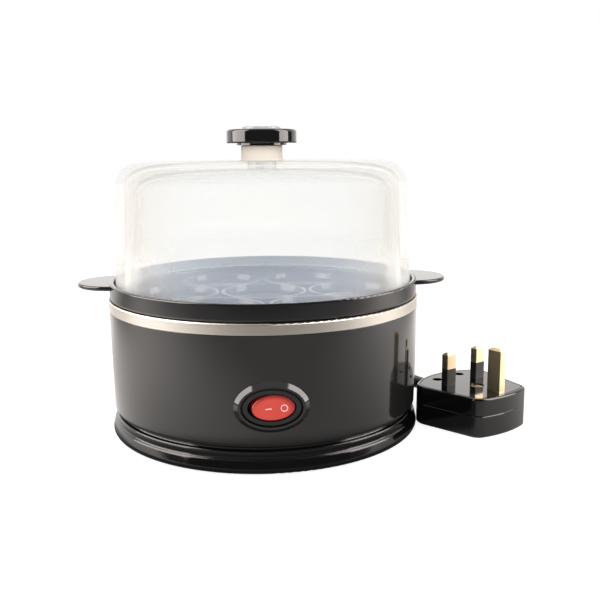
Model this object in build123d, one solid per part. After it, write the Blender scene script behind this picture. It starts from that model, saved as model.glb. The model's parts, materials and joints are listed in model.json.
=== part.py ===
from build123d import *
import math
import os

# An electric cooker that steams seven eggs, in millimetres.
# The origin is on the table under the cooker's axis. +Z is up, the switch faces -Y and the two
# ears of the tray lie along X. The lead leaves at the back and its plug lies on the right, pins up.

# Egg tray
egg_pitch = 46.0
outer_seats = 6
seat_diameter = 45.0
seat_wall = 2.5
seat_land = 1.6
seat_edge_round = 0.35
seat_height = 3.0
plate_thickness = 2.2
plate_margin = 1.5
well_depth = 5.6
well_wall = 2.2
well_round = 1.2
ledge_width = 7.0
ledge_thickness = 2.2
ledge_height = 3.1
rim_wall = 2.4
rim_height = 8.5
rim_foot_round = 1.4
rim_lip_round = 0.8
ear_radius = 19.0
ear_reach = 16.6
ear_thickness = 2.3
ear_drop = 1.2
ear_round = 0.9

# Lid and knob
lid_height = 64.6
lid_clearance = 0.6
lid_draft = 3.0
lid_wall = 4.6
lid_shoulder = 11.5
lid_inner_round = 12.0
lid_edge_round = 0.8
stem_diameter = 21.3
stem_height = 8.1
stem_wall = 3.2
stem_cap = 2.6
stem_root_round = 1.5
vent_diameter = 5.0
vent_offset = 34.0
knob_diameter = 36.0
knob_height = 7.0
knob_edge_round = 1.5
knob_foot_round = 0.8
knob_collar_diameter = 25.7
knob_collar_height = 1.0
knob_cap_diameter = 19.6
knob_cap_height = 2.4
knob_cap_round = 0.8
knob_cap_recess = 1.0
knob_screw_diameter = 4.0
knob_screw_bite = 5.2
screw_head_ratio = 1.8
screw_slot_ratio = 0.62
screw_slot_width = 0.9
screw_head_height = 2.2
washer_clearance = 1.9
washer_thickness = 1.0

# Base
foot_gap = 0.5
flange_height = 6.4
shoulder_height = 3.9
groove_height = 1.4
body_height = 52.1
band_height = 5.2
band_overhang = 0.6
band_gauge = 0.8
band_clearance = 0.2
body_taper = 0.7
body_wall = 2.9
body_foot_round = 2.5
body_foot_width = 3.2
body_foot_height = 3.4
body_top_round = 0.3
upstand_wall = 2.2
plinth_flange = 1.85
plinth_flare = 1.6
plinth_foot_round = 2.0
step_width = 0.95
step_height = 0.3
step_round = 0.35
lip_round = 0.35
plinth_floor = 2.4
lip_setback = 0.9
groove_depth = 2.0
seat_ring_width = 3.8
foot_diameter = 14.0
foot_recess = 1.2
foot_setback = 23.15
foot_chamfer = 0.4
post_setback = 11.4
post_count = 4
post_diameter = 9.0
post_headroom = 5.2
post_web = 2.6
pillar_height = 4.6
pillar_wall = 2.2
pillar_cap = 2.2
base_screw_diameter = 3.0
base_screw_bite = 12.0
thread_clearance = 0.05
head_clearance = 0.3
seat_gap = 0.2
cut_over = 1.0

# Heating
pan_gauge = 1.2
pan_depth = 20.7
pan_draft = 2.5
pan_corner = 6.0
pan_clearance = 1.0
seal_thickness = 1.1
seal_inset = 0.25
spreader_margin = 10.7
spreader_thickness = 4.0
element_circle = 40.0
element_diameter = 6.6
element_arc = 300.0
element_pin_diameter = 2.4
element_pin_length = 9.0
element_pin_inset = 5.0
stud_setback = 8.7
stud_diameter = 4.0
nut_across_flats = 7.0
nut_height = 3.2
thermostat_diameter = 15.0
thermostat_height = 7.0
thermostat_lug_length = 30.0
thermostat_lug_width = 11.0
thermostat_lug_gauge = 1.2
thermostat_hole_spacing = 23.0
thermostat_screw_diameter = 3.0
thermostat_tab_width = 5.0
thermostat_tab_gauge = 0.8
thermostat_tab_length = 6.0
thermostat_tab_spacing = 8.0
fuse_link_diameter = 4.4
fuse_link_length = 12.0
fuse_link_setback = 24.0

# Rocker switch
switch_rise = 19.8
rocker_width = 19.4
rocker_tall = 11.6
rocker_gap_ends = 1.1
rocker_gap_sides = 0.55
rocker_proud = 1.0
rocker_saddle_radius = 60.0
rocker_tail = 2.5
rocker_throw = 16.0
rocker_edge_round = 0.5
pivot_depth = 5.2
pivot_diameter = 3.0
pivot_seat = 0.9
housing_wall = 1.3
housing_depth = 17.0
bezel_land_ends = 1.6
bezel_land_sides = 1.15
bezel_thickness = 2.0
bezel_sink = 0.4
bezel_slope = 0.8
bezel_clearance = 0.15
collar_land_ends = 3.2
collar_land_sides = 3.0
collar_proud = 2.0
collar_slope = 1.9
collar_depth = 5.4
tab_width = 4.8
tab_length = 8.0
tab_gauge = 0.8
tab_spacing = 9.0
lamp_diameter = 4.0
lamp_length = 11.0

# Lead
cord_diameter = 7.0
gland_rise = 7.3
gland_bore_diameter = 10.0
gland_flange_diameter = 13.5
gland_flange_thickness = 1.6
gland_flange_round = 0.5
boot_diameter = 11.6
boot_tip_diameter = 9.0
boot_tip_round = 0.8
boot_length = 22.0
boot_ring_count = 4
boot_ring_gap = 1.6
boot_ring_depth = 1.2
inner_lead_length = 14.0
clamp_width = 22.0
clamp_length = 7.0
clamp_bar_height = 5.0
clamp_screw_spacing = 15.0
clamp_screw_diameter = 3.0
clamp_screw_depth = 10.0
wire_diameter = 2.4
core_rise = 1.5
stub = 7.0
wire_slack = 1.0
wire_ease = 2.0
wire_sway = 3.0
wire_sag = 4.0
supply_drop = 10.95
supply_side = 38.0
supply_side_half = 16.0
supply_rear_x = 20.0
supply_rear_y = 38.0
supply_front_x = 22.0
supply_front_y = 36.0
earth_bend_y = 34.0
earth_run_y = 12.0
switched_bend_y = 32.0
lead_run = 16.5
tail_run = 24.0
coil_x = 43.0
coil_y = 158.0
coil_lift = 1.4
coil_outer_radius = 43.0
coil_spread = 2.0
coil_layer_gap = 0.6
coil_side_count = 8
tie_width = 6.0
tie_thickness = 0.9
tie_clearance = 0.5
tie_round = 3.0

# Plug
plug_x = 105.2
plug_y = -11.5
plug_turn = -57.8
plug_height = 20.5
plug_split = 11.3
plug_edge_round = 1.2
plug_seam = 0.35
plug_toe_reach = 30.4
plug_toe_bow = 3.2
plug_toe_half = 18.8
plug_toe_round = 6.5
plug_hip_half = 26.0
plug_hip_round = 9.0
plug_heel_reach = 19.8
plug_heel_bow = 10.6
plug_groove_inset = 1.6
plug_groove_width = 0.5
plug_groove_depth = 0.4
pin_spacing = 22.23
earth_pin_deep = 8.0
earth_pin_wide = 4.0
earth_pin_long = 22.7
line_pin_deep = 4.0
line_pin_wide = 6.35
line_pin_long = 17.7
sleeve_length = 9.0
sleeve_wall = 0.5
pin_root = 6.0
pin_tip_chamfer = 1.2
plug_screw_along = 10.0
plug_screw_head = 7.0
plug_screw_head_height = 1.8
plug_screw_shank = 3.0
plug_screw_bite = 7.0
plug_screw_slot = 1.0
plug_screw_sink = 0.8
dimple_along = 10.5
dimple_across = 8.5
dimple_diameter = 5.2
dimple_depth = 4.0
plug_fuse_diameter = 6.3
plug_fuse_length = 25.4
plug_fuse_along = 4.0
plug_fuse_across = 14.6
plug_fuse_clearance = 0.4
plug_cord_height = 11.7
plug_cord_seat = 4.0
plug_cord_run = 22.5

# Heights worked out from the table up
plinth_top = foot_gap + flange_height + shoulder_height
body_bottom = plinth_top + groove_height
body_top = body_bottom + body_height
band_top = body_top + band_height
pan_flange_top = band_top - band_gauge
pan_flange_bottom = pan_flange_top - pan_gauge
upstand_top = pan_flange_bottom - seal_thickness
pan_floor = pan_flange_top - pan_depth
spreader_top = pan_floor - pan_gauge
spreader_bottom = spreader_top - spreader_thickness
rim_top = band_top + rim_height
ledge_top = band_top + ledge_height
plate_top = ledge_top - well_depth
plate_bottom = plate_top - plate_thickness
lid_top = ledge_top + lid_height
lid_ceiling = lid_top - lid_wall
stem_top = lid_top + stem_height
floor_top = foot_gap + plinth_floor
pillar_top = floor_top + pillar_height
nut_seat = pillar_top - pillar_cap
post_top = spreader_bottom - post_headroom
switch_height = body_bottom + switch_rise
gland_height = body_bottom + gland_rise

# Radii worked out from the egg seats out
well_radius = egg_pitch + seat_diameter / 2 + plate_margin
well_outer = well_radius + well_wall
rim_inner = well_radius + ledge_width
rim_radius = rim_inner + rim_wall
band_radius = rim_radius + band_overhang
upstand_radius = band_radius - band_gauge - band_clearance
upstand_inner = upstand_radius - upstand_wall
body_foot_radius = band_radius - body_taper
body_foot_inner = body_foot_radius - body_foot_round - body_foot_width
body_inner = body_foot_radius - body_wall
plinth_radius = body_foot_radius + plinth_flange
lip_radius = body_foot_radius - lip_setback
groove_radius = lip_radius - groove_depth
seat_ring_inner = groove_radius - seat_ring_width
pan_mouth = well_outer + pan_clearance
post_circle = body_inner - post_setback
foot_circle = plinth_radius - foot_setback
spreader_radius = element_circle + element_diameter / 2 + spreader_margin
stud_circle = element_circle - element_diameter / 2 - stud_setback
element_start = 90 + (360 - element_arc) / 2
stem_bore = stem_diameter / 2 - stem_wall

# The switch, from the front of its collar in
opening_width = rocker_width + 2 * rocker_gap_ends
opening_tall = rocker_tall + 2 * rocker_gap_sides
housing_width = opening_width + 2 * housing_wall
housing_tall = opening_tall + 2 * housing_wall
bezel_width = housing_width + 2 * bezel_land_ends
bezel_tall = housing_tall + 2 * bezel_land_sides
collar_front = body_foot_radius + body_taper * switch_rise / body_height + collar_proud
bezel_front = collar_front - bezel_sink
bezel_back = bezel_front - bezel_thickness
housing_back = bezel_back - housing_depth
pivot_out = bezel_front - pivot_depth
pivot_reach = opening_tall / 2 + pivot_seat

# The lead, from the wall out and in
gland_wall = body_foot_radius + body_taper * gland_rise / body_height
gland_inside = math.sqrt(body_foot_inner**2 - (gland_flange_diameter / 2) ** 2) - thread_clearance
boot_end = gland_wall + boot_length
inner_lead_start = gland_inside - gland_flange_thickness
inner_lead_end = inner_lead_start - inner_lead_length
clamp_place = inner_lead_start - inner_lead_length / 2
coil_pitch = cord_diameter + coil_spread
coil_low = coil_lift + cord_diameter / 2
coil_high = coil_low + cord_diameter + coil_layer_gap
coil_west = coil_x - coil_outer_radius
coil_east = coil_x + coil_outer_radius
coil_joint = coil_y - cord_diameter


def turned(*corners):
    """Solid turned about Z through (radius, height, rounding) corners."""
    points = [(radius, 0, height) for radius, height, rounding in corners]
    roundings = [rounding for radius, height, rounding in corners]
    return revolve(make_face(FilletPolyline(*points, radius=roundings, close=True)), Axis.Z)


def rod(radius, low, high, x=0.0, y=0.0):
    """Upright cylinder between two heights."""
    align = (Align.CENTER, Align.CENTER, Align.MIN)
    return Pos(x, y, low) * Cylinder(radius, high - low, align=align)


def around(count, circle, start=0.0):
    """Evenly spaced places on a circle."""
    turns = [math.radians(start + 360 / count * step) for step in range(count)]
    return [(circle * math.cos(turn), circle * math.sin(turn)) for turn in turns]


def tube(points, diameter, share):
    """Round tube along straight runs joined by tangent arcs that take a share of each run."""
    points = [Vector(*point) for point in points]
    radii = []
    for before, corner, after in zip(points, points[1:], points[2:]):
        turn = (corner - before).get_angle(after - corner)
        run = min((corner - before).length, (after - corner).length)
        radii.append(share * run / math.tan(math.radians(turn / 2)))
    path = FilletPolyline(*points, radius=radii)
    section = Plane(points[0], z_dir=points[1] - points[0]) * Circle(diameter / 2)
    return sweep(section, path=path), path.length, radii


def screw(shank, low, high, x=0.0, y=0.0):
    """Screw that points up, with its cross-slotted head below the height low."""
    head = shank * screw_head_ratio
    blank = rod(head / 2, low - screw_head_height, low, x, y) + rod(shank / 2, low, high, x, y)
    slot = Box(head * screw_slot_ratio, screw_slot_width, screw_head_height)
    return blank - Pos(x, y, low - screw_head_height) * (slot + Rot(0, 0, 90) * slot)


# Tray, lid and knob
def egg_places():
    """Middle seat and the ring of seats round it."""
    return [(0.0, 0.0)] + around(outer_seats, egg_pitch)


def egg_tray():
    """Moulded tray: rim, ledge for the lid, sunk plate with raised egg seats, two ears."""
    lip = min(rim_lip_round, 0.4 * rim_wall)
    tray = turned(
        (0, plate_bottom, 0),
        (well_outer, plate_bottom, well_round),
        (well_outer, ledge_top - ledge_thickness, 0),
        (rim_inner, ledge_top - ledge_thickness, 0),
        (rim_inner, band_top, 0),
        (rim_radius, band_top, min(rim_foot_round, 0.7 * rim_wall)),
        (rim_radius, rim_top, lip),
        (rim_inner, rim_top, lip),
        (rim_inner, ledge_top, 0),
        (well_radius, ledge_top, lip),
        (well_radius, plate_top, 0),
        (0, plate_top, 0),
    )
    ear_center = rim_radius + ear_reach - ear_radius
    ear_top = rim_top - ear_drop
    for side in (-1, 1):
        ear = rod(ear_radius, ear_top - ear_thickness, ear_top, side * ear_center)
        ear = fillet(ear.edges().filter_by(GeomType.CIRCLE), min(ear_round, 0.45 * ear_thickness))
        tray = tray + (ear - rod(rim_inner + rim_wall / 2, 0, lid_top))
    seat_top = plate_top + seat_height
    hole = seat_diameter / 2 - seat_wall
    edge = min(seat_edge_round, 0.45 * seat_land)
    seat = turned(
        (hole, plate_top, 0),
        (seat_diameter / 2, plate_top, 0),
        (seat_diameter / 2, seat_top, edge),
        (seat_diameter / 2 - seat_land, seat_top, edge),
    )
    tray = tray - [rod(hole, plate_bottom, plate_top, x, y) for x, y in egg_places()]
    return tray + [Pos(x, y) * seat for x, y in egg_places()]


def lid():
    """Translucent bell with a hollow stem for the knob and two steam vents."""
    foot = rim_inner - lid_clearance
    top = foot - lid_draft
    hole = knob_screw_diameter / 2 + thread_clearance
    bell = turned(
        (hole, stem_top, 0),
        (stem_diameter / 2, stem_top, lid_edge_round),
        (stem_diameter / 2, lid_top, stem_root_round),
        (top, lid_top, lid_shoulder),
        (foot, ledge_top, lid_edge_round),
        (foot - lid_wall, ledge_top, lid_edge_round),
        (top - lid_wall, lid_ceiling, lid_inner_round),
        (stem_bore, lid_ceiling, lid_edge_round),
        (stem_bore, stem_top - stem_cap, 0),
        (hole, stem_top - stem_cap, 0),
    )
    for x, y in around(2, vent_offset, 90):
        bell = bell - rod(vent_diameter / 2, lid_ceiling - cut_over, lid_top + cut_over, x, y)
    return bell


knob_low = stem_top + knob_collar_height
knob_top = knob_low + knob_height


def knob():
    """Round knob on a narrower collar, recessed on top for its cap and drilled from below."""
    recess = knob_top - knob_cap_recess
    blank = turned(
        (0, stem_top, 0),
        (knob_collar_diameter / 2, stem_top, 0),
        (knob_collar_diameter / 2, knob_low, 0),
        (knob_diameter / 2, knob_low, knob_foot_round),
        (knob_diameter / 2, knob_top, knob_edge_round),
        (knob_cap_diameter / 2 + thread_clearance, knob_top, 0),
        (knob_cap_diameter / 2 + thread_clearance, recess, 0),
        (0, recess, 0),
    )
    hole = knob_screw_diameter / 2 + thread_clearance
    return blank - rod(hole, stem_top, stem_top + knob_screw_bite + seat_gap)


def knob_cap():
    """Pale button pressed into the top of the knob."""
    low = knob_top - knob_cap_recess
    return turned(
        (0, low, 0),
        (knob_cap_diameter / 2, low, 0),
        (knob_cap_diameter / 2, low + knob_cap_height, knob_cap_round),
        (0, low + knob_cap_height, 0),
    )


def knob_washer():
    top = stem_top - stem_cap
    ring = rod(stem_bore - washer_clearance, top - washer_thickness, top)
    return ring - rod(knob_screw_diameter / 2 + thread_clearance, top - washer_thickness, top)


def knob_screw():
    low = stem_top - stem_cap - washer_thickness
    return screw(knob_screw_diameter, low, stem_top + knob_screw_bite)


# Band, pan and heater
def steel_band():
    """Brushed band: an upright strip with a flange that turns in over the pan's rim."""
    return turned(
        (band_radius - band_gauge, body_top, 0),
        (band_radius, body_top, 0),
        (band_radius, band_top, band_gauge * 0.9),
        (pan_mouth + band_gauge, band_top, 0),
        (pan_mouth + band_gauge, pan_flange_top, 0),
        (band_radius - band_gauge, pan_flange_top, 0),
    )


def heating_pan():
    """Drawn pan that holds the water, with a flat flange."""
    rim = upstand_radius - band_clearance
    bottom = pan_mouth - pan_draft
    return turned(
        (0, pan_floor, 0),
        (bottom, pan_floor, pan_corner),
        (pan_mouth, pan_flange_top, pan_gauge),
        (rim, pan_flange_top, 0),
        (rim, pan_flange_bottom, 0),
        (pan_mouth + pan_gauge, pan_flange_bottom, 0),
        (bottom + pan_gauge, pan_floor - pan_gauge, pan_corner + pan_gauge),
        (0, pan_floor - pan_gauge, 0),
    )


def pan_seal():
    ring = rod(upstand_radius - seal_inset, upstand_top, pan_flange_bottom)
    return ring - rod(upstand_inner + seal_inset, upstand_top, pan_flange_bottom)


def element_ring(radius, start=0.0, arc=360.0):
    """Ring of round section at the element's place."""
    section = Plane.XZ * Pos(element_circle, spreader_bottom) * Circle(radius)
    return Rot(0, 0, start) * revolve(section, Axis.Z, arc)


def thermostat_screw_places():
    return [(-thermostat_hole_spacing / 2, 0.0), (thermostat_hole_spacing / 2, 0.0)]


def heat_spreader():
    """Aluminium disc under the pan, with a half-round groove for the element."""
    disc = rod(spreader_radius, spreader_bottom, spreader_top)
    disc = disc - element_ring(element_diameter / 2 + thread_clearance)
    hole = thermostat_screw_diameter / 2 + thread_clearance
    for x, y in thermostat_screw_places():
        disc = disc - rod(hole, spreader_bottom, spreader_top, x, y)
    return disc


def heating_element():
    return element_ring(element_diameter / 2, element_start, element_arc)


def element_pin_places():
    turns = (element_start + element_pin_inset, element_start + element_arc - element_pin_inset)
    return [around(1, element_circle, turn)[0] for turn in turns]


element_pin_top = spreader_bottom - element_diameter / 2 - thread_clearance
element_pin_low = element_pin_top - element_pin_length


def element_terminals():
    """Pins that hang from the two ends of the element."""
    radius = element_pin_diameter / 2
    return Compound([rod(radius, element_pin_low, element_pin_top, x, y) for x, y in element_pin_places()])


def pan_studs():
    low = nut_seat - nut_height
    return Compound([rod(stud_diameter / 2, low, spreader_bottom, x, y) for x, y in around(2, stud_circle)])


def stud_nuts():
    nuts = []
    for x, y in around(2, stud_circle):
        blank = extrude(RegularPolygon(nut_across_flats / 2, 6, major_radius=False), nut_height)
        nut = Pos(x, y, nut_seat - nut_height) * blank
        nuts.append(nut - rod(stud_diameter / 2 + thread_clearance, 0, nut_seat, x, y))
    return Compound(nuts)


thermostat_body_top = spreader_bottom - thermostat_lug_gauge
thermostat_body_low = thermostat_body_top - thermostat_height
thermostat_tab_low = thermostat_body_low - thermostat_tab_length


def thermostat():
    """Bimetal thermostat on a flat lug, with two tabs."""
    lug = Pos(0, 0, spreader_bottom - thermostat_lug_gauge / 2) * Box(
        thermostat_lug_length, thermostat_lug_width, thermostat_lug_gauge
    )
    body = lug + rod(thermostat_diameter / 2, thermostat_body_low, thermostat_body_top)
    for side in (-1, 1):
        tab = Box(thermostat_tab_width, thermostat_tab_gauge, thermostat_tab_length)
        place = (thermostat_body_low + thermostat_tab_low) / 2
        body = body + Pos(0, side * thermostat_tab_spacing / 2, place) * tab
    for x, y in thermostat_screw_places():
        body = body - rod(thermostat_screw_diameter / 2 + thread_clearance, 0, spreader_bottom, x, y)
    return body


def thermostat_screws():
    shank = thermostat_screw_diameter
    top = spreader_top - seat_gap
    return Compound([screw(shank, thermostat_body_top, top, x, y) for x, y in thermostat_screw_places()])


fuse_link_height = spreader_bottom - seat_gap - fuse_link_diameter / 2


def thermal_fuse():
    link = Rot(0, 90, 0) * Cylinder(fuse_link_diameter / 2, fuse_link_length)
    return Pos(0, fuse_link_setback, fuse_link_height) * link


# Switch
def oval_block(width, tall, outside, inside):
    """Oval block at the switch, between two distances in front of the axis."""
    block = extrude(Plane.XZ * Ellipse(width / 2, tall / 2), outside - inside)
    return Pos(0, -inside, switch_height) * block


def front_edge(block):
    return block.faces().sort_by(Axis.Y)[0].outer_wire().edges()


def switch_housing():
    """Bezel and can of the switch in one moulding, open at the front."""
    bezel = oval_block(bezel_width, bezel_tall, bezel_front, bezel_back)
    bezel = chamfer(front_edge(bezel), bezel_slope)
    can = oval_block(housing_width, housing_tall, bezel_back, housing_back)
    cavity = oval_block(opening_width, opening_tall, bezel_front, housing_back + housing_wall)
    hole = rod(
        pivot_diameter / 2 + thread_clearance,
        switch_height - pivot_reach,
        switch_height + pivot_reach,
        0,
        -pivot_out,
    )
    return bezel + can - cavity - hole


def rocker_pivot():
    return rod(pivot_diameter / 2, switch_height - pivot_reach, switch_height + pivot_reach, 0, -pivot_out)


def switch_rocker():
    """Oval rocker with a saddle-shaped face, tipped to its off side."""
    face = pivot_depth + rocker_proud
    block = Pos(0, rocker_tail, 0) * extrude(
        Plane.XZ * Ellipse(rocker_width / 2, rocker_tall / 2), face + rocker_tail
    )
    sagitta = rocker_saddle_radius - math.sqrt(rocker_saddle_radius**2 - (rocker_width / 2) ** 2)
    dip = Pos(0, -face - rocker_saddle_radius + sagitta, 0) * Cylinder(rocker_saddle_radius, 2 * rocker_tall)
    block = block - dip
    block = fillet(front_edge(block), rocker_edge_round)
    block = block - Cylinder(pivot_diameter / 2 + thread_clearance, 2 * rocker_tall)
    return Pos(0, -pivot_out, switch_height) * Rot(0, 0, rocker_throw / 2) * block


def switch_terminals():
    return Compound(
        [
            Pos(side * tab_spacing / 2, -housing_back + tab_length / 2, switch_height)
            * Box(tab_gauge, tab_length, tab_width)
            for side in (-1, 1)
        ]
    )


def pilot_lamp():
    out = housing_back + housing_wall + seat_gap + lamp_diameter / 2
    return Pos(0, -out, switch_height) * Rot(0, 90, 0) * Cylinder(lamp_diameter / 2, lamp_length)


# Housing
def post_places():
    return around(post_count, post_circle, 180 / post_count)


def body_shell():
    """Outer shell: upstand behind the band, screw posts, raised collar for the switch, cord hole."""
    shell = turned(
        (body_foot_inner, body_bottom, 0),
        (body_foot_radius, body_bottom, body_foot_round),
        (band_radius, body_top, body_top_round),
        (upstand_radius, body_top, 0),
        (upstand_radius, upstand_top, 0),
        (upstand_inner, upstand_top, 0),
        (body_inner, body_bottom + body_foot_height + body_wall, 0),
        (body_foot_inner, body_bottom + body_foot_height, 0),
    )
    collar = oval_block(
        bezel_width + 2 * collar_land_ends,
        bezel_tall + 2 * collar_land_sides,
        collar_front,
        collar_front - collar_proud - collar_depth,
    )
    shell = shell + chamfer(front_edge(collar), collar_slope)
    web_low = body_bottom + body_foot_height
    reach = body_inner + body_wall / 2 - post_circle
    web = Pos(post_circle + reach / 2, 0, (web_low + post_top) / 2) * Box(reach, post_web, post_top - web_low)
    for place, (x, y) in enumerate(post_places()):
        shell = shell + Rot(0, 0, (place + 0.5) * 360 / post_count) * web
        shell = shell + rod(post_diameter / 2, pillar_top, post_top, x, y)
    for x, y in post_places():
        hole = base_screw_diameter / 2 + thread_clearance
        shell = shell - rod(hole, pillar_top, pillar_top + base_screw_bite + cut_over, x, y)
    clear = 2 * bezel_clearance
    seat = oval_block(bezel_width + clear, bezel_tall + clear, collar_front + cut_over, bezel_back)
    hole = oval_block(housing_width + clear, housing_tall + clear, collar_front, housing_back)
    cord_hole = Cylinder(gland_bore_diameter / 2, 4 * body_wall + 2 * body_foot_width)
    return shell - seat - hole - Pos(0, body_foot_radius, gland_height) * Rot(90, 0, 0) * cord_hole


def clamp_screw_places():
    return [(side * clamp_screw_spacing / 2, clamp_place) for side in (-1, 1)]


def along_lead(radius, start, end):
    """Cylinder along the lead's axis where it passes through the wall."""
    middle = Pos(0, (start + end) / 2, gland_height)
    return middle * Rot(90, 0, 0) * Cylinder(radius, abs(end - start))


def clamp_bore():
    radius = cord_diameter / 2 + thread_clearance
    return along_lead(radius, clamp_place - clamp_length, clamp_place + clamp_length)


def base_plinth():
    """Flared base: skirt, stepped shoulder, seat for the body, floor with pillars and recesses."""
    skirt_top = foot_gap + flange_height
    skirt_radius = plinth_radius - plinth_flare
    plinth = turned(
        (0, foot_gap, 0),
        (plinth_radius, foot_gap, plinth_foot_round),
        (skirt_radius, skirt_top, step_round),
        (skirt_radius - step_width, skirt_top + step_height, step_round),
        (lip_radius, plinth_top, lip_round),
        (groove_radius, plinth_top, 0),
        (groove_radius, body_bottom, 0),
        (seat_ring_inner, body_bottom, 0),
        (seat_ring_inner, floor_top, 0),
        (0, floor_top, 0),
    )
    screw_recess = base_screw_diameter * screw_head_ratio / 2 + head_clearance
    nut_recess = nut_across_flats / math.sqrt(3) + head_clearance
    pillars = [(x, y, screw_recess, base_screw_diameter) for x, y in post_places()]
    pillars += [(x, y, nut_recess, stud_diameter) for x, y in around(2, stud_circle)]
    for x, y, recess, shank in pillars:
        plinth = plinth + rod(recess + pillar_wall, foot_gap, pillar_top, x, y)
        plinth = plinth - rod(recess, foot_gap, pillar_top - pillar_cap, x, y)
        plinth = plinth - rod(shank / 2 + thread_clearance, foot_gap, pillar_top, x, y)
    for x, y in around(4, foot_circle):
        plinth = plinth - rod(foot_diameter / 2 + thread_clearance, foot_gap, foot_gap + foot_recess, x, y)
    saddle_height = gland_height - floor_top
    saddle = Box(clamp_width, clamp_length, saddle_height)
    plinth = plinth + Pos(0, clamp_place, floor_top + saddle_height / 2) * saddle - clamp_bore()
    for x, y in clamp_screw_places():
        hole = clamp_screw_diameter / 2 + thread_clearance
        plinth = plinth - rod(hole, gland_height - clamp_screw_depth - seat_gap, gland_height, x, y)
    flange_room = gland_flange_diameter / 2 + head_clearance
    return plinth - along_lead(flange_room, inner_lead_start - head_clearance, groove_radius + cut_over)


def cord_clamp():
    bar = Box(clamp_width, clamp_length, clamp_bar_height)
    bar = Pos(0, clamp_place, gland_height + clamp_bar_height / 2) * bar - clamp_bore()
    for x, y in clamp_screw_places():
        bar = bar - rod(clamp_screw_diameter / 2 + thread_clearance, 0, body_top, x, y)
    return bar


def clamp_screws():
    top = gland_height + clamp_bar_height
    turned_over = Pos(0, 0, 2 * top) * Rot(180, 0, 0)
    tip = 2 * top - (gland_height - clamp_screw_depth)
    return Compound(
        [turned_over * screw(clamp_screw_diameter, top, tip, x, -y) for x, y in clamp_screw_places()]
    )


def rubber_feet():
    feet = []
    for x, y in around(4, foot_circle):
        foot = rod(foot_diameter / 2, 0, foot_gap + foot_recess, x, y)
        feet.append(chamfer(foot.edges().group_by(Axis.Z)[0], foot_chamfer))
    return Compound(feet)


def base_screws():
    low = pillar_top - pillar_cap
    high = pillar_top + base_screw_bite
    return Compound([screw(base_screw_diameter, low, high, x, y) for x, y in post_places()])


# Lead
def strain_relief():
    """Moulded strain relief: inner flange, neck through the wall and a ringed, tapered boot."""
    neck = gland_bore_diameter / 2 - thread_clearance
    butt = boot_diameter / 2
    tip = boot_tip_diameter / 2
    start = gland_wall + seat_gap
    boot = turned(
        (0, inner_lead_start, 0),
        (gland_flange_diameter / 2, inner_lead_start, gland_flange_round),
        (gland_flange_diameter / 2, gland_inside, 0),
        (neck, gland_inside, 0),
        (neck, start, 0),
        (butt, start, 0),
        (tip, boot_end, boot_tip_round),
        (0, boot_end, 0),
    )
    spacing = boot_length / (boot_ring_count + 1.5)
    for ring in range(1, boot_ring_count + 1):
        middle = start + ring * spacing
        floor = butt + (tip - butt) * (middle - start) / boot_length - boot_ring_depth
        low, high = middle - boot_ring_gap / 2, middle + boot_ring_gap / 2
        boot = boot - (rod(boot_diameter, low, high) - rod(floor, low, high))
    return Pos(0, 0, gland_height) * Rot(-90, 0, 0) * boot


def inner_lead():
    return along_lead(cord_diameter / 2, inner_lead_end, inner_lead_start)


def plug_point(along, across, height):
    """Place on the plug, along its earth axis and across it, in the model's frame."""
    turn = math.radians(plug_turn)
    x = plug_x + along * math.cos(turn) - across * math.sin(turn)
    y = plug_y + along * math.sin(turn) + across * math.cos(turn)
    return x, y, height


lead_points = [
    (coil_west, boot_end, gland_height),
    (coil_west, boot_end + lead_run, gland_height),
    (coil_west, coil_joint - lead_run, coil_high),
    (coil_west, coil_joint, coil_high),
]
tail_points = [
    plug_point(plug_cord_seat - plug_heel_reach, 0, plug_cord_height),
    plug_point(-plug_heel_reach - plug_cord_run, 0, plug_cord_height),
    (81.5, 48.0, 10.0),
    (85.5, 73.0, 4.6),
    (87.2, 100.0, 3.6),
    (coil_east, coil_joint - tail_run, coil_low),
    (coil_east, coil_joint, coil_low),
]
coil_in_count = 4
coil_down_count = 2
coil_quarter_count = 2 * coil_in_count + coil_down_count


def coil_knot(quarter):
    """Place and heading after so many quarter turns: in on top, down, and out underneath."""
    rate = coil_pitch / coil_in_count
    reversal = coil_in_count + coil_down_count
    inner_radius = coil_outer_radius - coil_pitch
    drift = 0.0
    slope = 0.0
    if quarter <= coil_in_count:
        radius, height = coil_outer_radius - rate * quarter, coil_high
        if 0 < quarter < coil_in_count:
            drift = -rate
    elif quarter < reversal:
        radius, height = inner_radius, (coil_high + coil_low) / 2
        slope = -0.75 * (coil_high - coil_low)
    else:
        radius, height = inner_radius + rate * (quarter - reversal), coil_low
        if reversal < quarter < coil_quarter_count:
            drift = rate
    angle = math.pi - quarter * math.pi / 2
    outward = Vector(math.cos(angle), math.sin(angle))
    onward = Vector(math.sin(angle), -math.cos(angle))
    place = Vector(coil_x, coil_y, height) + outward * radius
    heading = onward * (radius * math.pi / 2) + outward * drift + Vector(0, 0, slope)
    return place, heading.normalized()


def biarc(start, start_heading, end, end_heading):
    """Two tangent arcs between two places with given headings."""
    chord = end - start
    square = 2 - 2 * start_heading.dot(end_heading)
    across = chord.dot(start_heading + end_heading)
    reach = (math.sqrt(across**2 + square * chord.dot(chord)) - across) / square
    middle = (start + start_heading * reach + end - end_heading * reach) * 0.5
    first = TangentArc(start, middle, tangent=start_heading)
    second = TangentArc(end, middle, tangent=end_heading * -1)
    return [first.edge(), second.edge()]


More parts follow.
